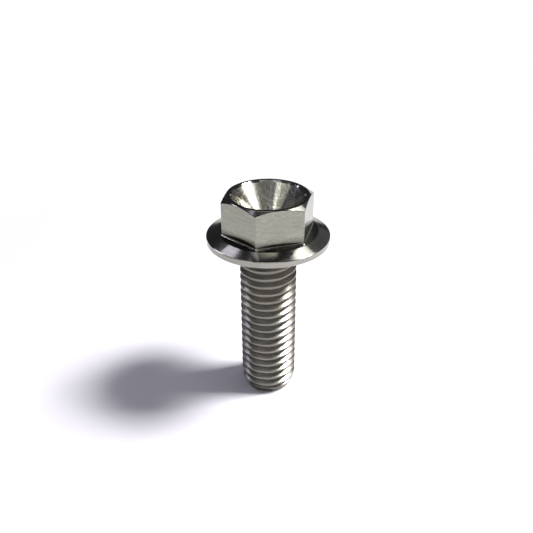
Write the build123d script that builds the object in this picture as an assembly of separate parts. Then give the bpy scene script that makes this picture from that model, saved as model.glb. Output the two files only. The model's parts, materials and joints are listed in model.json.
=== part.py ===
"""Flange bolt M10 x 1.5 x 30 with a 14 mm hexagon head, turned, milled and threaded from one bar.

The bolt stands on the flat end of its shank. The origin is the centre of that end, +Z runs along
the bolt towards the head, and one flat of the hexagon faces -Y. Lengths are in millimetres and
angles in degrees. The thread is a true right-hand helix, made of flat facets to keep its mesh light.
"""
from build123d import *
import math
import os

# Shank
thread_diameter = 10.0      # nominal, M10
crest_allowance = 0.14      # the crests are this much under the nominal diameter
shank_length = 30.0         # from the end to the face that bears on the work
point_length = 2.0          # of the point chamfer, along the axis
point_depth = 0.78          # of the point chamfer, towards the axis

# Thread
pitch = 1.5
thread_depth = 0.85         # from crest to root
root_width = 0.25           # of the groove's flat bottom
flank_angle = 30.0          # of each flank, from the plane across the axis
thread_phase = 0.27         # height of the groove's middle over the +X axis
facet_angle = 12.0          # that one facet takes round the axis

# Relief between the thread and the flange
neck_margin = 0.08          # below the thread's root
neck_length = 2.1           # straight part
neck_slope = 45.0           # of the cone that leads into the thread, from the axis
neck_chamfer = 0.3          # where the neck meets the flange

# Flange
flange_diameter = 21.0
rim_height = 1.05
rim_edge = 0.12             # broken edges of the rim
cone_height = 0.7           # from the top of the rim to the flat step round the hexagon
step_margin = 0.475         # of that step, past the hexagon's corners

# Hexagon head
across_flats = 13.9         # for a 14 mm spanner
head_height = 8.1           # from the bearing face to the top
corner_radius = 0.2         # broken edges between the flats
foot_fillet = 0.22          # where the flats meet the flange
crown_inset = 0.05          # from the middle of a flat to the inner edge of the crown chamfer
crown_slope = 30.0          # of the crown chamfer, from the plane across the axis

# Dished recess in the head
land_width = 0.65           # of the flat ring between the crown chamfer and the dish
mouth_chamfer = 0.25
dish_half_angle = 37.5      # of the wall, from the axis
web_thickness = 2.9         # from the bearing face to the floor of the dish
dish_floor_fillet = 1.2

# Worked out from the sizes above
crest_radius = (thread_diameter - crest_allowance) / 2
end_radius = crest_radius - point_depth
root_radius = crest_radius - thread_depth
neck_radius = root_radius - neck_margin
flank_height = thread_depth * math.tan(math.radians(flank_angle))
facets_per_turn = round(360 / facet_angle)
step_rise = pitch / facets_per_turn
flange_radius = flange_diameter / 2
corner_distance = across_flats / math.sqrt(3)
step_radius = corner_distance + step_margin
crown_radius = across_flats / 2 - crown_inset
mouth_radius = crown_radius - land_width
bearing_z = shank_length
rim_top_z = bearing_z + rim_height
step_z = rim_top_z + cone_height
top_z = bearing_z + head_height
thread_top_z = bearing_z - neck_length
clearance = 1.0             # how far the cutting solids reach past the bolt
lip_share = 0.05            # how far the groove's cutter reaches past the crests, as a share of its depth


def rise(run, slope):
    """The height gained over a run, at a slope in degrees."""
    return run * math.tan(math.radians(slope))


def half_section(*points):
    """A face in the XZ plane, from the (radius, height) points of its outline."""
    return make_face(Plane.XZ * Polyline(*points, close=True))


def turn(section):
    """The solid that a half section sweeps round the bolt's axis."""
    return revolve(section, axis=Axis.Z)


def at(radius, angle, height):
    """The point at a radius, an angle round the axis and a height."""
    return Vector(radius, 0, height).rotate(Axis.Z, angle)


def facet(*corners):
    """A flat face between corners that lie in one plane."""
    return Face(Wire.make_polygon(corners))


def root_twist():
    """How far the groove's root is turned against its crests, so that each facet of a flank is flat.

    With the twist as t and r, c and h as the root radius, the crest radius and the flank's height,
    the four corners lie in one plane where
    step_rise * cos(t) + h * tan(step / 2) * sin(t) = step_rise * (r^2 + c^2) / (2 * r * c).
    """
    lean = flank_height * math.tan(math.pi / facets_per_turn)
    spread = (root_radius ** 2 + crest_radius ** 2) / (2 * root_radius * crest_radius)
    twist = math.atan2(lean, step_rise) - math.acos(spread * step_rise / math.hypot(lean, step_rise))
    return math.degrees(twist)


def groove_side(step, side):
    """The root and the lip of the groove's lower (-1) or upper (1) flank, some steps up the helix."""
    angle = 360 * step / facets_per_turn
    height = thread_phase + step_rise * step
    root = at(root_radius, angle - side * root_twist(), height + side * root_width / 2)
    crest = at(crest_radius, angle, height + side * (root_width / 2 + flank_height))
    return root, crest + (crest - root) * lip_share


def groove():
    """What the thread cuts away: a V with a flat bottom, wound up a right-hand helix into the relief."""
    first = -math.ceil((pitch + thread_phase) / step_rise)
    last = round((bearing_z - neck_length / 2 - thread_phase) / step_rise)
    sections = [(*groove_side(step, -1), *groove_side(step, 1)) for step in range(first, last + 1)]
    facets = []
    for below, above in zip(sections, sections[1:]):
        low_root, low_lip, high_root, high_lip = zip(below, above)
        for root, lip in ((low_root, low_lip), (high_root, high_lip)):
            facets.append(facet(*root, *reversed(lip)))
        for low, high in ((low_root, high_root), (low_lip, high_lip)):
            facets.append(facet(*low, high[1]))
            facets.append(facet(low[0], *reversed(high)))
    for low_root, low_lip, high_root, high_lip in (sections[0], sections[-1]):
        facets.append(facet(low_root, low_lip, high_lip))
        facets.append(facet(low_root, high_lip, high_root))
    return Solid(Shell(facets))


def threaded_bar():
    """A bar as thick as the crests, with the groove cut in it from below the end to the relief."""
    overhang = 2 * pitch
    plan = Pos(0, 0, -overhang) * RegularPolygon(crest_radius, facets_per_turn)
    return extrude(plan, amount=overhang + bearing_z) - groove()


def shank():
    """The threaded bar turned to length, with its flat end, its point chamfer and its relief."""
    reach = crest_radius + clearance
    outline = half_section(
        (0, 0),
        (end_radius, 0),
        (reach, (reach - end_radius) * point_length / point_depth),
        (reach, thread_top_z - (reach - neck_radius) / rise(1, neck_slope)),
        (neck_radius, thread_top_z),
        (neck_radius, bearing_z),
        (0, bearing_z),
    )
    return threaded_bar() & turn(outline)


def flange():
    """The flange: a chamfered root at the neck, a flat bearing face, the rim, a cone and the flat step."""
    return turn(half_section(
        (0, bearing_z - neck_chamfer),
        (neck_radius, bearing_z - neck_chamfer),
        (neck_radius + neck_chamfer, bearing_z),
        (flange_radius - rim_edge, bearing_z),
        (flange_radius, bearing_z + rim_edge),
        (flange_radius, rim_top_z - rim_edge),
        (flange_radius - rim_edge, rim_top_z),
        (step_radius, step_z),
        (0, step_z),
    ))


def hexagon():
    """The hexagon with broken corners, under a crown chamfer that ends each flat in an arch."""
    plan = RegularPolygon(across_flats / 2, 6, major_radius=False)
    plan = fillet(plan.vertices(), corner_radius)
    prism = extrude(Pos(0, 0, bearing_z) * plan, amount=head_height)
    reach = corner_distance + clearance
    crown = turn(half_section(
        (0, bearing_z),
        (reach, bearing_z),
        (reach, top_z - rise(reach - crown_radius, crown_slope)),
        (crown_radius, top_z),
        (0, top_z),
    ))
    return prism & crown


def dish():
    """The recess that hollows the head: a chamfered mouth, a conical wall and a rounded floor."""
    wall_radius = mouth_radius - mouth_chamfer
    wall_z = top_z - mouth_chamfer
    floor_z = bearing_z + web_thickness
    floor_radius = wall_radius - rise(wall_z - floor_z, dish_half_angle)
    section = half_section(
        (0, floor_z),
        (floor_radius, floor_z),
        (wall_radius, wall_z),
        (mouth_radius + clearance, top_z + clearance),
        (0, top_z + clearance),
    )
    corner = section.vertices().sort_by_distance((floor_radius, 0, floor_z))[0]
    return turn(fillet(corner, dish_floor_fillet))


def bolt():
    """The whole bolt: the hexagon blended into the flange, hollowed from the top, on the threaded shank."""
    blank = flange() + hexagon()
    foot = blank.edges().filter_by_position(Axis.Z, step_z, step_z)
    foot = foot.filter_by(lambda edge: edge.geom_type != GeomType.CIRCLE or edge.radius < step_radius)
    return fillet(foot, foot_fillet) - dish() + shank()


os.makedirs("parts", exist_ok=True)
export_step(bolt(), "parts/flange_bolt.step")
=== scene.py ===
"""Flange bolt in bare titanium: its thread, its head, the machined finish and the studio round it.

Everything is in metres in the CAD frame: the bolt stands on z = 0, its axis is Z, and one flat of the
hexagon faces -Y. Sizes are written in millimetres and turned into metres with MM.
"""
import json
import math

import bmesh
import bpy
from mathutils import Matrix, Vector


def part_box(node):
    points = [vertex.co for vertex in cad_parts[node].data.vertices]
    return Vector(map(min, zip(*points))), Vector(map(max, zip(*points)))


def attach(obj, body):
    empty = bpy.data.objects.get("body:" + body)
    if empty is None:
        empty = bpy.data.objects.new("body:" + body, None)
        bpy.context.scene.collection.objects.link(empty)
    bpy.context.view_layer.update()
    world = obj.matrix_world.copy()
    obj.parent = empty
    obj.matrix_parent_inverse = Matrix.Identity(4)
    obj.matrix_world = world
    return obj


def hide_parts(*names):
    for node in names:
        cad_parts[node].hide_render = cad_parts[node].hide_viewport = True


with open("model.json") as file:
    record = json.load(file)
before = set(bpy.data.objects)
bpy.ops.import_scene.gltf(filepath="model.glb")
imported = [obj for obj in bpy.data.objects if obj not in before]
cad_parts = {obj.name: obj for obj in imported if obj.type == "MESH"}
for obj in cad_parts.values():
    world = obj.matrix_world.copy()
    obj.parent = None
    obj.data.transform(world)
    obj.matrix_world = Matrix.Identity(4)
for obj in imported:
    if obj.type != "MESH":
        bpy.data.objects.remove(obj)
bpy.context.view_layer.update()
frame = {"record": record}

MM = 0.001

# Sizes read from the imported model
mounts = {mount["name"]: mount for mount in frame["record"]["mounts"]}
low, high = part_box("flange_bolt")
TOP = high[2]
FLANGE_RADIUS = (high[0] - low[0]) / 2
CREST_RADIUS = mounts["thread"]["dims"]["r_mm"] * MM
BEARING = mounts["bearing_face"]["pos_m"][2]

# Thread
PITCH = 1.5 * MM
FLAT_SHARE = 1 / 6              # of the pitch, at the crest and at the root
THREAD_DEPTH = 0.85 * MM
THREAD_PHASE = 0.27 * MM        # height of the groove's middle over the +X axis
EDGE_SOFTNESS = 0.03 * MM       # rounding of crests and roots
POINT_LENGTH = 2.0 * MM         # of the point chamfer, along the axis
POINT_DEPTH = 0.78 * MM         # of the point chamfer, towards the axis

# Grid that is wound into the thread
COLUMNS = 128                   # round the axis
ROWS_PER_TURN = 24
TURNS_BELOW = 2                 # under the end, which they close as a disc
TURNS_ABOVE = 1                 # past the join with the head, where they are cut off
CLOSING_SHARE = 0.8             # of a pitch, over which the rows under the end run in to the axis
WELD_DISTANCE = 0.001 * MM
CRISP_ANGLE = math.radians(30)  # the shank's edges are sharp where its faces turn by more than this

# Relief under the flange
NECK_MARGIN = 0.08 * MM         # below the thread's root
NECK_LENGTH = 2.1 * MM
NECK_CHAMFER = 0.3 * MM
NECK_RADIUS = CREST_RADIUS - THREAD_DEPTH - NECK_MARGIN
NECK_START = BEARING - NECK_LENGTH
JOIN = BEARING - NECK_CHAMFER   # height at which shank and head meet

# Flange
RIM_HEIGHT = 1.05 * MM
RIM_EDGE = 0.12 * MM            # broken edges of the rim
CONE_HEIGHT = 0.7 * MM          # from the top of the rim to the flat step round the hexagon
CONE_NORMAL = 70                # how far up the cone faces, in degrees over level
STEP_MARGIN = 0.475 * MM        # of the flat step, past the hexagon's corners
RIM_TOP = BEARING + RIM_HEIGHT
STEP = RIM_TOP + CONE_HEIGHT

# Hexagon
ACROSS_FLATS = 13.9 * MM
CORNER_ROUNDING = 0.2 * MM
FOOT_FILLET = 0.22 * MM
CROWN_INSET = 0.05 * MM         # from the middle of a flat to the inner edge of the crown chamfer
CROWN_SLOPE = math.radians(30)
EDGE_BREAK = 0.05 * MM          # of the arched edges and of the land
BREAK_SHARE = 0.3               # of the crown chamfer's width, which that break stays under
STEP_RADIUS = ACROSS_FLATS / math.sqrt(3) + STEP_MARGIN
CROWN_RADIUS = ACROSS_FLATS / 2 - CROWN_INSET

# Dish
LAND_WIDTH = 0.65 * MM          # of the flat ring between the crown chamfer and the dish
MOUTH_CHAMFER = 0.25 * MM
DISH_HALF_ANGLE = math.radians(37.5)
DISH_FILLET = 1.2 * MM
WEB_THICKNESS = 2.9 * MM        # from the bearing face to the floor of the dish
MOUTH_RADIUS = CROWN_RADIUS - LAND_WIDTH
WALL_RADIUS = MOUTH_RADIUS - MOUTH_CHAMFER
WALL_TOP = TOP - MOUTH_CHAMFER
DISH_FLOOR = BEARING + WEB_THICKNESS

# Steps of the head's mesh
FLAT_STEPS = 16                 # across a flat
CORNER_STEPS = 6                # round a corner of the hexagon
RIM_STEPS = 3
FILLET_STEPS = 8
WALL_STEPS = 8                  # down the dish's wall

# Metal finish
MICROMETRE = 0.001 * MM
BARE_METAL = (0.36, 0.355, 0.312)
HAZE_SPREAD = 0.1               # of roughness, between the clearest and the haziest spots
QUARTER_TURN = 0.25             # from along the tool marks to across them
PAINTED_SHADE_SHARE = 0.5              # of the metal's brightness that is left in the painted shade at the flats' foot
PAINTED_SHADE_START = STEP + 0.5 * MM  # height up to which the flats' foot has its full painted shade
PAINTED_SHADE_END = STEP + 1.6 * MM    # height from which the flats have no painted shade
PAINTED_SHADE_BREAK_UP = 1.5           # how far the haze frays the band of painted shade
SCRATCHES = ((35, 0.25), (-50, 0.4), (80, 0.3))     # turn in degrees, and changes to a millimetre along it
SCRATCH_LINES = 5               # to a millimetre, across them
SCRATCH_START = 0.66            # value of the noise at which a scratch starts
SCRATCH_SHARPNESS = 12

# Camera, with its angles in degrees
CAMERA_AZIMUTH = -105.7
CAMERA_ELEVATION = 29.43
CAMERA_ROLL = -0.222
CAMERA_DISTANCE = 108.99 * MM
AIM_HEIGHT = BEARING - 5.5 * MM
AIM_RIGHT = -0.3 * MM
FOCAL_PIXELS = 625.3
IMAGE_PIXELS = 533
SENSOR_WIDTH = 36.0             # in millimetres, as a lens is given in Blender
CLIP_START = 5 * MM

# Floor and backdrop
WHITE = (1, 1, 1)
FLOOR_HALF = 4.0                # half of its width
FLOOR_DROP = 0.01 * MM          # from the bolt's end to the floor
FLOOR_COLOUR = (0.45, 0.446, 0.492)
GLOW_START = 68 * MM            # from the bolt, where the floor starts to turn white for the camera
GLOW_FADE = 42 * MM             # from there to where it is all white
DARK_CEILING = (0.035, 0.035, 0.042)
WHITE_BELOW = math.radians(4)   # elevation under which the metal mirrors a white backdrop

# Lamps
LAMP_DISTANCE = 0.5             # from the middle of the shank
WARM = (1, 0.98, 0.94)
COOL = (0.97, 0.98, 1)
LAVENDER = (0.82, 0.8, 1)


# Node trees

class Field:
    """A socket of a node tree, so that a formula can be written as an ordinary sum."""

    def __init__(self, tree, socket):
        self.tree = tree
        self.socket = socket

    def apply(self, operation, *others):
        """What a math node makes of this field and others, which are fields or numbers."""
        node = self.tree.nodes.new("ShaderNodeMath")
        node.operation = operation
        for slot, value in zip(node.inputs, (self, *others)):
            if isinstance(value, Field):
                self.tree.links.new(value.socket, slot)
            else:
                slot.default_value = value
        return Field(self.tree, node.outputs[0])

    def __add__(self, other):
        return self.apply("ADD", other)

    def __sub__(self, other):
        return self.apply("SUBTRACT", other)

    def __rsub__(self, other):
        return (self * -1) + other

    def __mul__(self, other):
        return self.apply("MULTIPLY", other)

    def __truediv__(self, other):
        return self.apply("DIVIDE", other)

    def at_least(self, other):
        return self.apply("MAXIMUM", other)

    def at_most(self, other):
        return self.apply("MINIMUM", other)


def link(tree, source, target):
    """Joins a field or a socket to a node's input."""
    tree.links.new(source.socket if isinstance(source, Field) else source, target)


def noise(tree, vector, scale, detail=2.0, roughness=0.55):
    """Soft noise from 0 to 1. Its scale is a number or a field."""
    node = tree.nodes.new("ShaderNodeTexNoise")
    node.inputs["Detail"].default_value = detail
    node.inputs["Roughness"].default_value = roughness
    if isinstance(scale, (int, float)):
        node.inputs["Scale"].default_value = scale
    else:
        link(tree, scale, node.inputs["Scale"])
    link(tree, vector, node.inputs["Vector"])
    return Field(tree, node.outputs[0])


def combine(tree, x, y, z):
    """A vector from three numbers or fields."""
    node = tree.nodes.new("ShaderNodeCombineXYZ")
    for value, slot in zip((x, y, z), node.inputs):
        if isinstance(value, Field):
            link(tree, value, slot)
        else:
            slot.default_value = value
    return node.outputs[0]


def mix_colours(tree, share, first, second):
    """The first colour where share is 0 and the second where it is 1. Either may be a socket."""
    node = tree.nodes.new("ShaderNodeMix")
    node.data_type = "RGBA"
    link(tree, share, node.inputs["Factor"])
    for colour, title in ((first, "A"), (second, "B")):
        if isinstance(colour, tuple):
            node.inputs[title].default_value = (*colour, 1)
        else:
            link(tree, colour, node.inputs[title])
    return node.outputs["Result"]


# Materials

def scratched(tree, surface):
    """1 along thin scratches that lie in a few directions, and 0 between them."""
    found = None
    for turn, changes in SCRATCHES:
        rotate = tree.nodes.new("ShaderNodeVectorRotate")
        rotate.rotation_type = "Z_AXIS"
        rotate.inputs["Angle"].default_value = math.radians(turn)
        link(tree, surface, rotate.inputs["Vector"])
        stretch = tree.nodes.new("ShaderNodeVectorMath")
        stretch.operation = "MULTIPLY"
        link(tree, rotate.outputs[0], stretch.inputs[0])
        stretch.inputs[1].default_value = (changes / MM, SCRATCH_LINES / MM, changes / MM)
        lines = noise(tree, stretch.outputs[0], scale=1.0, detail=0.0) - SCRATCH_START
        lines = (lines * SCRATCH_SHARPNESS).at_least(0.0).at_most(1.0)
        found = lines if found is None else found.at_least(lines)
    return found


def tool_marks_group():
    """A node group of the lines that a tool leaves, in the metal's height, tone and haze.

    Across A and B are the two coordinates that change across the lines, and Along is the one that
    changes along them. Lines and mottle are given as so many to a millimetre.
    """
    group = bpy.data.node_groups.new("tool marks", "ShaderNodeTree")
    for title in ("Across A", "Across B", "Along", "Fine Lines", "Coarse Lines", "Break Up", "Mottle",
                  "Scratches"):
        group.interface.new_socket(title, in_out="INPUT", socket_type="NodeSocketFloat")
    group.interface.new_socket("Surface", in_out="INPUT", socket_type="NodeSocketVector")
    for title in ("Height", "Tone", "Haze"):
        group.interface.new_socket(title, in_out="OUTPUT", socket_type="NodeSocketFloat")
    result = group.nodes.new("NodeGroupOutput")
    given = group.nodes.new("NodeGroupInput").outputs
    surface = given["Surface"]
    a, b, along = (Field(group, given[title]) / MM for title in ("Across A", "Across B", "Along"))
    across = combine(group, a, b, along * Field(group, given["Break Up"]))
    fine = noise(group, across, Field(group, given["Fine Lines"]), detail=3.0, roughness=0.6)
    coarse = noise(group, across, Field(group, given["Coarse Lines"]))
    mottle = noise(group, surface, Field(group, given["Mottle"]) / MM, detail=3.0)
    scratches = scratched(group, surface) * Field(group, given["Scratches"])
    link(group, fine * 0.6 + coarse * 0.4 + scratches, result.inputs["Height"])
    link(group, fine * 0.35 + coarse * 0.3 + mottle * 0.35 + scratches, result.inputs["Tone"])
    link(group, mottle * 0.5 + fine * 0.5, result.inputs["Haze"])
    return group


def mark_coordinates(x, y, z, turned):
    """The two coordinates across the tool marks and the one along them.

    Turned marks run round the axis and milled ones run level. The shares of x and y give a direction
    in plan that no flat is square to.
    """
    if turned:
        return (x * x + y * y).apply("SQRT"), z, x + y * 0.7
    return z, (x + y) * 0.02, x * 0.9 - y * 0.8


def machined_metal(name, marks, turned, tint=BARE_METAL, roughness=0.13, depth=0.6, stretch=0.8, fine=9.0,
                   coarse=2.2, break_up=0.35, mottle=1.1, contrast=0.4, scratches=0.0, painted_shade=False):
    """Bare titanium as a tool left it, turned round the axis or milled.

    Depth is that of the marks, in micrometres. Stretch draws highlights out across them, and contrast is
    how far their tone strays from the tint. With painted shade, the flats darken towards their foot in place
    of the dark flange that they mirror.
    """
    material = bpy.data.materials.new(name)
    material.use_nodes = True
    tree = material.node_tree
    shader = tree.nodes["Principled BSDF"]
    surface = tree.nodes.new("ShaderNodeTexCoord").outputs["Object"]
    split = tree.nodes.new("ShaderNodeSeparateXYZ")
    link(tree, surface, split.inputs[0])
    x, y, z = (Field(tree, socket) for socket in split.outputs)
    group = tree.nodes.new("ShaderNodeGroup")
    group.node_tree = marks
    link(tree, surface, group.inputs["Surface"])
    for title, field in zip(("Across A", "Across B", "Along"), mark_coordinates(x, y, z, turned)):
        link(tree, field, group.inputs[title])
    settings = {"Fine Lines": fine, "Coarse Lines": coarse, "Break Up": break_up, "Mottle": mottle,
                "Scratches": scratches}
    for title, value in settings.items():
        group.inputs[title].default_value = value
    haze = Field(tree, group.outputs["Haze"])
    dull, bright = (tuple(channel * share for channel in tint) for share in (1 - contrast, 1 + contrast))
    colour = mix_colours(tree, group.outputs["Tone"], dull, bright)
    # painted shade: the flats' colour darkens towards their foot, standing in for the dark flange they mirror
    if painted_shade:
        unshaded_share = (z - PAINTED_SHADE_START) / (PAINTED_SHADE_END - PAINTED_SHADE_START) + (haze - 0.5) * PAINTED_SHADE_BREAK_UP
        shade = tuple(channel * PAINTED_SHADE_SHARE for channel in tint)
        colour = mix_colours(tree, unshaded_share.at_least(0.0).at_most(1.0), shade, colour)
    link(tree, colour, shader.inputs["Base Color"])
    link(tree, haze * HAZE_SPREAD + (roughness - HAZE_SPREAD / 2), shader.inputs["Roughness"])
    shader.inputs["Metallic"].default_value = 1.0
    tangent = tree.nodes.new("ShaderNodeTangent")
    tangent.direction_type = "RADIAL"
    tangent.axis = "Z"
    link(tree, tangent.outputs[0], shader.inputs["Tangent"])
    shader.inputs["Anisotropic"].default_value = stretch
    shader.inputs["Anisotropic Rotation"].default_value = QUARTER_TURN
    bump = tree.nodes.new("ShaderNodeBump")
    bump.inputs["Distance"].default_value = depth * MICROMETRE
    link(tree, group.outputs["Height"], bump.inputs["Height"])
    link(tree, bump.outputs[0], shader.inputs["Normal"])
    return material


# Threaded shank

def unit_grid(tree, columns, rows):
    """A grid one unit wide, with the share of its width and of its height at each of its points."""
    grid = tree.nodes.new("GeometryNodeMeshGrid")
    grid.inputs["Size X"].default_value = 1.0
    grid.inputs["Size Y"].default_value = 1.0
    link(tree, columns + 1, grid.inputs["Vertices X"])
    link(tree, rows + 1, grid.inputs["Vertices Y"])
    place = tree.nodes.new("GeometryNodeInputPosition")
    split = tree.nodes.new("ShaderNodeSeparateXYZ")
    link(tree, place.outputs[0], split.inputs[0])
    return grid.outputs["Mesh"], Field(tree, split.outputs[0]) + 0.5, Field(tree, split.outputs[1]) + 0.5


def thread_radius(size, level, round_share):
    """The shank's radius at a height and a share of a turn: the V of the thread, the point and the relief."""
    turn_here = (level - size["Phase"]) / size["Pitch"] - round_share
    from_groove = ((turn_here + 0.5).apply("FRACT") - 0.5).apply("ABSOLUTE")
    flank_share = (from_groove - size["Flat Share"] / 2) / (0.5 - size["Flat Share"])
    rise = flank_share * size["Depth"]
    rise = rise.apply("SMOOTH_MIN", size["Depth"], size["Softness"])
    rise = rise.apply("SMOOTH_MAX", 0.0, size["Softness"])
    thread = size["Crest Radius"] - size["Depth"] + rise
    point = size["Crest Radius"] - size["Point Depth"] * (1 - level / size["Point Length"])
    relief = (size["Neck Start"] - level + size["Neck Radius"]).at_least(size["Neck Radius"])
    return thread.at_most(point).at_most(relief)


def thread_tree():
    """Geometry nodes that wind a grid round the axis as a right-hand thread, from the end to the relief."""
    tree = bpy.data.node_groups.new("threaded shank", "GeometryNodeTree")
    sizes = {
        "Pitch": PITCH, "Flat Share": FLAT_SHARE, "Crest Radius": CREST_RADIUS, "Depth": THREAD_DEPTH,
        "Softness": EDGE_SOFTNESS, "Phase": THREAD_PHASE, "Point Length": POINT_LENGTH,
        "Point Depth": POINT_DEPTH, "Neck Start": NECK_START, "Neck Radius": NECK_RADIUS, "Top": JOIN,
        "Columns": COLUMNS, "Rows per Turn": ROWS_PER_TURN,
    }
    for title, value in sizes.items():
        kind = "NodeSocketInt" if isinstance(value, int) else "NodeSocketFloat"
        socket = tree.interface.new_socket(title, in_out="INPUT", socket_type=kind)
        socket.default_value = value
    tree.interface.new_socket("Finish", in_out="INPUT", socket_type="NodeSocketMaterial")
    tree.interface.new_socket("Geometry", in_out="OUTPUT", socket_type="NodeSocketGeometry")
    result = tree.nodes.new("NodeGroupOutput")
    given = tree.nodes.new("NodeGroupInput").outputs
    size = {title: Field(tree, given[title]) for title in sizes}
    pitch = size["Pitch"]
    turns = ((size["Top"] - size["Phase"]) / pitch + (TURNS_BELOW + TURNS_ABOVE)).apply("CEIL")
    mesh, round_share, row_share = unit_grid(tree, size["Columns"], turns * size["Rows per Turn"])

    # Height of each point on its helix, cut off flat at the end and at the join to the head
    height = (row_share * turns - TURNS_BELOW + round_share) * pitch + size["Phase"]
    snap = pitch / size["Rows per Turn"] / 2
    below = height.apply("LESS_THAN", snap * -1)
    level = (height * height.apply("GREATER_THAN", snap)).at_least(0.0).at_most(size["Top"])
    radius = thread_radius(size, level, round_share)

    # Points under the end run in to the axis and close it as a disc
    inwards = (height / pitch / CLOSING_SHARE + 1).at_least(0.0)
    radius = radius * (1 - below) + radius * inwards * below
    angle = round_share * math.tau
    spot = combine(tree, radius * angle.apply("COSINE"), radius * angle.apply("SINE"), level)
    shape = tree.nodes.new("GeometryNodeSetPosition")
    link(tree, mesh, shape.inputs["Geometry"])
    link(tree, spot, shape.inputs["Position"])
    weld = tree.nodes.new("GeometryNodeMergeByDistance")
    weld.inputs["Distance"].default_value = WELD_DISTANCE
    link(tree, shape.outputs[0], weld.inputs["Geometry"])
    realize = tree.nodes.new("GeometryNodeRealizeInstances")
    link(tree, weld.outputs[0], realize.inputs[0])
    finish = tree.nodes.new("GeometryNodeSetMaterial")
    link(tree, realize.outputs[0], finish.inputs["Geometry"])
    link(tree, given["Finish"], finish.inputs["Material"])
    link(tree, finish.outputs[0], result.inputs[0])
    return tree


def plain_mesh_from(tree, inputs):
    """The mesh that a geometry node tree makes, with some of its inputs set by name."""
    holder = bpy.data.objects.new("holder", bpy.data.meshes.new("holder"))
    bpy.context.scene.collection.objects.link(holder)
    modifier = holder.modifiers.new("nodes", "NODES")
    modifier.node_group = tree
    for item in tree.interface.items_tree:
        if item.in_out == "INPUT" and item.name in inputs:
            modifier[item.identifier] = inputs[item.name]
    evaluated = holder.evaluated_get(bpy.context.evaluated_depsgraph_get())
    mesh = bpy.data.meshes.new_from_object(evaluated)
    bpy.data.objects.remove(holder)
    return mesh


# Head

def hexagon_plan():
    """(angle, distance) of points round the hexagon, with closer points on its rounded corners."""
    half_flat = ACROSS_FLATS / 2
    half_side = (half_flat - CORNER_ROUNDING) * math.tan(math.radians(30))
    centre = (half_flat - CORNER_ROUNDING) / math.cos(math.radians(30))
    plan = []
    for side in range(6):
        facing = math.radians(30 + 60 * side)
        for step in range(FLAT_STEPS):
            across = half_side * (2 * step / FLAT_STEPS - 1)
            plan.append((facing + math.atan2(across, half_flat), math.hypot(across, half_flat)))
        for step in range(CORNER_STEPS):
            turn = math.radians(60 * step / CORNER_STEPS - 30)
            out = centre + CORNER_ROUNDING * math.cos(turn)
            over = CORNER_ROUNDING * math.sin(turn)
            plan.append((facing + math.radians(30) + math.atan2(over, out), math.hypot(over, out)))
    return plan


def arc(centre, radius, start, end, steps):
    """(radius, height) points of an arc in the bolt's half section, between two angles in degrees."""
    points = []
    for step in range(steps + 1):
        angle = math.radians(start + (end - start) * step / steps)
        points.append((centre[0] + radius * math.cos(angle), centre[1] + radius * math.sin(angle)))
    return points


def dish_profile():
    """(radius, height) points down the dish's wall and round the edge of its floor."""
    corner = WALL_RADIUS - (WALL_TOP - DISH_FLOOR) * math.tan(DISH_HALF_ANGLE)
    setback = DISH_FILLET * math.tan((math.pi / 2 - DISH_HALF_ANGLE) / 2)
    centre = (corner - setback, DISH_FLOOR + DISH_FILLET)
    floor_edge = arc(centre, DISH_FILLET, -math.degrees(DISH_HALF_ANGLE), -90, FILLET_STEPS)
    foot_radius, foot = floor_edge[0]
    wall = []
    for step in range(1, WALL_STEPS):
        share = step / WALL_STEPS
        wall.append((WALL_RADIUS + (foot_radius - WALL_RADIUS) * share, WALL_TOP + (foot - WALL_TOP) * share))
    return wall + floor_edge


def head_section(reach):
    """The head's half section where the hexagon's wall stands at this reach.

    It starts at the neck, goes out round the flange and up the wall, and ends at the dish's floor. Each
    row is (radius, height, finish, crisp): the finish of the surface that ends at the row, and whether
    the tool left a sharp edge there.
    """
    slope = math.tan(CROWN_SLOPE)
    crown_width = reach - CROWN_RADIUS
    edge = TOP - crown_width * slope
    break_out = min(EDGE_BREAK, BREAK_SHARE * crown_width)
    rim_centre = FLANGE_RADIUS - RIM_EDGE
    foot_blend = arc((reach + FOOT_FILLET, STEP + FOOT_FILLET), FOOT_FILLET, 270, 180, FILLET_STEPS)
    rows = []

    def add(finish, points, crisp=True):
        rows.extend((radius, height, finish, crisp) for radius, height in points)

    add("turned", [(NECK_RADIUS, JOIN), (NECK_RADIUS + NECK_CHAMFER, BEARING)])
    add("turned", arc((rim_centre, BEARING + RIM_EDGE), RIM_EDGE, -90, 0, RIM_STEPS))
    add("turned", arc((rim_centre, RIM_TOP - RIM_EDGE), RIM_EDGE, 0, CONE_NORMAL, RIM_STEPS))
    add("turned", [(STEP_RADIUS, STEP)])
    add("turned", foot_blend, crisp=False)
    add("milled", [(reach, edge - break_out)])
    add("turned", [(reach - break_out, edge + break_out * slope)])
    add("turned", [(CROWN_RADIUS + break_out / 2, TOP - break_out / 2 * slope)])
    add("turned", [(CROWN_RADIUS - EDGE_BREAK / 2, TOP), (MOUTH_RADIUS, TOP), (WALL_RADIUS, WALL_TOP)])
    add("dish", dish_profile(), crisp=False)
    return rows


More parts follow.
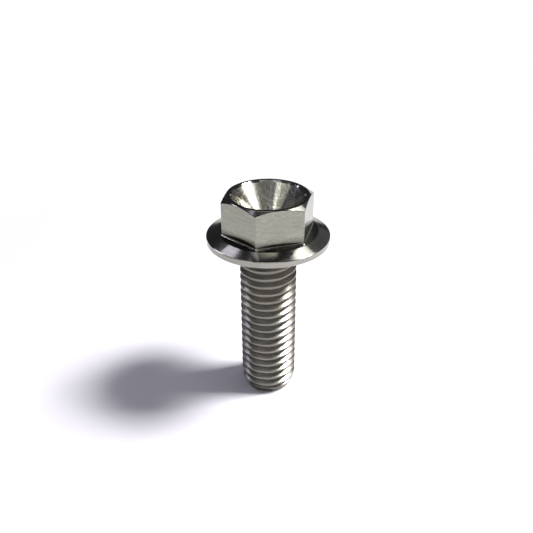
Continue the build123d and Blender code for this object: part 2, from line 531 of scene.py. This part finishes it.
def head_mesh(finishes):
    """A bmesh of the head, open only where the shank joins it."""
    mesh = bmesh.new()
    plan = hexagon_plan()
    columns = []
    for angle, reach in plan:
        rows = head_section(reach)
        across = Vector((math.cos(angle), math.sin(angle), 0))
        columns.append([(mesh.verts.new(across * radius + Vector((0, 0, height))), finish, crisp)
                        for radius, height, finish, crisp in rows])
    for number, column in enumerate(columns):
        following = columns[(number + 1) % len(columns)]
        for row in range(len(column) - 1):
            corners = (column[row][0], following[row][0], following[row + 1][0], column[row + 1][0])
            face = mesh.faces.new(corners)
            face.material_index = finishes.index(column[row + 1][1])
            face.smooth = True
            face.edges[0].smooth = not column[row][2]
    middle = mesh.verts.new((0, 0, DISH_FLOOR))
    for number, column in enumerate(columns):
        following = columns[(number + 1) % len(columns)]
        face = mesh.faces.new((column[-1][0], following[-1][0], middle))
        face.material_index = finishes.index("dish")
        face.smooth = True
    return mesh


def bolt(materials):
    """Shank and head welded into one closed mesh, with sharp edges where the tool left them."""
    finishes = list(materials)
    shank = plain_mesh_from(thread_tree(), {"Finish": materials["thread"]})
    mesh = head_mesh(finishes)
    first_shank_face = len(mesh.faces)
    mesh.from_mesh(shank)
    mesh.faces.ensure_lookup_table()
    for edge in mesh.edges:
        if len(edge.link_faces) == 2 and edge.link_faces[0].index >= first_shank_face:
            edge.smooth = edge.calc_face_angle() < CRISP_ANGLE
    for face in mesh.faces[first_shank_face:]:
        face.smooth = True
        flat_end = all(vert.co.z < WELD_DISTANCE for vert in face.verts)
        face.material_index = finishes.index("turned" if flat_end else "thread")
    open_edges = [edge for edge in mesh.edges if edge.is_boundary]
    bmesh.ops.bridge_loops(mesh, edges=open_edges)
    bmesh.ops.recalc_face_normals(mesh, faces=mesh.faces)
    data = bpy.data.meshes.new("bolt")
    for material in materials.values():
        data.materials.append(material)
    mesh.to_mesh(data)
    mesh.free()
    piece = bpy.data.objects.new("bolt", data)
    bpy.context.scene.collection.objects.link(piece)
    return piece


# Studio

def direction(azimuth, elevation):
    """The unit vector towards a place in the studio: azimuth 0 is the camera's side, 90 is on its right."""
    around = math.radians(CAMERA_AZIMUTH + azimuth)
    up = math.radians(elevation)
    return Vector((math.cos(up) * math.cos(around), math.cos(up) * math.sin(around), math.sin(up)))


def softbox(name, azimuth, elevation, width, height, brightness, colour=WHITE):
    """An area lamp that faces the bolt. Width and height are angles as the bolt sees them, in degrees."""
    data = bpy.data.lights.new(name, "AREA")
    data.shape = "RECTANGLE"
    data.size = 2 * LAMP_DISTANCE * math.tan(math.radians(width) / 2)
    data.size_y = 2 * LAMP_DISTANCE * math.tan(math.radians(height) / 2)
    data.energy = brightness * math.pi * data.size * data.size_y
    data.color = colour
    lamp = bpy.data.objects.new(name, data)
    towards = direction(azimuth, elevation)
    lamp.location = towards * LAMP_DISTANCE + Vector((0, 0, BEARING / 2))
    lamp.rotation_euler = towards.to_track_quat("Z", "Y").to_euler()
    bpy.context.scene.collection.objects.link(lamp)


def floor():
    """A large pale floor, white in the distance for the camera and for what the metal mirrors."""
    data = bpy.data.meshes.new("floor")
    corners = ((-1, -1), (1, -1), (1, 1), (-1, 1))
    data.from_pydata([(x * FLOOR_HALF, y * FLOOR_HALF, -FLOOR_DROP) for x, y in corners], [], [(0, 1, 2, 3)])
    plane = bpy.data.objects.new("floor", data)
    bpy.context.scene.collection.objects.link(plane)
    material = bpy.data.materials.new("pale floor")
    material.use_nodes = True
    tree = material.node_tree
    tree.nodes.remove(tree.nodes["Principled BSDF"])
    diffuse = tree.nodes.new("ShaderNodeBsdfDiffuse")
    diffuse.inputs["Color"].default_value = (*FLOOR_COLOUR, 1)
    glow = tree.nodes.new("ShaderNodeEmission")
    glow.inputs["Color"].default_value = (*WHITE, 1)
    path = tree.nodes.new("ShaderNodeLightPath")
    length = tree.nodes.new("ShaderNodeVectorMath")
    length.operation = "LENGTH"
    link(tree, tree.nodes.new("ShaderNodeTexCoord").outputs["Object"], length.inputs[0])
    far = (Field(tree, length.outputs["Value"]) - GLOW_START) / GLOW_FADE
    far = far.at_least(0.0).at_most(1.0)
    seen = Field(tree, path.outputs["Is Camera Ray"]).at_least(Field(tree, path.outputs["Is Glossy Ray"]))
    seen = seen.at_least(Field(tree, path.outputs["Is Transmission Ray"]))
    mix = tree.nodes.new("ShaderNodeMixShader")
    link(tree, far * seen, mix.inputs["Fac"])
    link(tree, diffuse.outputs[0], mix.inputs[1])
    link(tree, glow.outputs[0], mix.inputs[2])
    link(tree, mix.outputs[0], tree.nodes["Material Output"].inputs["Surface"])
    data.materials.append(material)
    return plane


def studio_world():
    """White behind the floor, for the camera and in the metal, under the dark ceiling of a studio."""
    world = bpy.data.worlds.new("studio")
    world.use_nodes = True
    tree = world.node_tree
    split = tree.nodes.new("ShaderNodeSeparateXYZ")
    link(tree, tree.nodes.new("ShaderNodeTexCoord").outputs["Generated"], split.inputs[0])
    low_down = Field(tree, split.outputs["Z"]).apply("LESS_THAN", math.sin(WHITE_BELOW))
    path = tree.nodes.new("ShaderNodeLightPath")
    mirrored = Field(tree, path.outputs["Is Glossy Ray"])
    mirrored = mirrored.at_least(Field(tree, path.outputs["Is Transmission Ray"]))
    white = (mirrored * low_down).at_least(Field(tree, path.outputs["Is Camera Ray"]))
    colour = mix_colours(tree, white, DARK_CEILING, WHITE)
    link(tree, colour, tree.nodes["Background"].inputs["Color"])
    bpy.context.scene.world = world


def camera():
    """The photograph's view."""
    data = bpy.data.cameras.new("camera")
    data.sensor_width = SENSOR_WIDTH
    data.lens = FOCAL_PIXELS * SENSOR_WIDTH / IMAGE_PIXELS
    data.clip_start = CLIP_START
    seat = bpy.data.objects.new("camera", data)
    towards = direction(0, CAMERA_ELEVATION)
    aim = direction(90, 0) * AIM_RIGHT + Vector((0, 0, AIM_HEIGHT))
    roll = Matrix.Rotation(math.radians(CAMERA_ROLL), 4, "Z")
    turn = towards.to_track_quat("Z", "Y").to_matrix().to_4x4() @ roll
    seat.matrix_world = Matrix.Translation(aim + towards * CAMERA_DISTANCE) @ turn
    bpy.context.scene.collection.objects.link(seat)
    bpy.context.scene.camera = seat


# The bolt in its studio

marks = tool_marks_group()
materials = {
    "thread": machined_metal("cut thread", marks, turned=True, tint=(0.262, 0.252, 0.224), roughness=0.37,
                             depth=0.7, stretch=0.5, fine=7.0, mottle=4.0, contrast=0.8),
    "turned": machined_metal("turned metal", marks, turned=True),
    # the milled flats get painted shade at their foot
    "milled": machined_metal("milled flats", marks, turned=False, tint=(0.33, 0.326, 0.275), depth=0.8,
                             stretch=0.3, coarse=3.6, break_up=0.12, mottle=4.5, contrast=0.7, painted_shade=True),
    "dish": machined_metal("turned dish", marks, turned=True, roughness=0.25, stretch=0.5, contrast=0.8,
                           scratches=0.35),
}
piece = bolt(materials)
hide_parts("flange_bolt")
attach(piece, "root")
floor()

softbox("key softbox", azimuth=96, elevation=54, width=14, height=14, brightness=150, colour=WARM)
softbox("right softbox", azimuth=123, elevation=54, width=19, height=18, brightness=2)
softbox("high right softbox", azimuth=148, elevation=56, width=12, height=14, brightness=2.4, colour=COOL)
softbox("right window", azimuth=149, elevation=38, width=32, height=46, brightness=0.1, colour=COOL)
softbox("low right softbox", azimuth=77, elevation=33, width=25, height=14, brightness=2.9)
softbox("left softbox", azimuth=-126, elevation=43, width=11, height=11, brightness=11, colour=LAVENDER)
softbox("back left window", azimuth=-149, elevation=52, width=14, height=11, brightness=1.8, colour=LAVENDER)
softbox("high left window", azimuth=-80, elevation=70, width=26, height=12, brightness=1.3, colour=LAVENDER)
softbox("left window", azimuth=-72, elevation=46, width=26, height=14, brightness=1, colour=WARM)
softbox("front left softbox", azimuth=-43, elevation=47, width=13, height=14, brightness=3.6, colour=WARM)
softbox("front softbox", azimuth=-16, elevation=50, width=6, height=10, brightness=1, colour=LAVENDER)
softbox("front window", azimuth=6, elevation=36, width=34, height=16, brightness=1.3, colour=WARM)
softbox("ceiling window", azimuth=0, elevation=80, width=30, height=14, brightness=2.4)
softbox("back window", azimuth=180, elevation=60, width=20, height=12, brightness=1.2)
studio_world()
camera()
bpy.context.scene.view_settings.view_transform = "Standard"
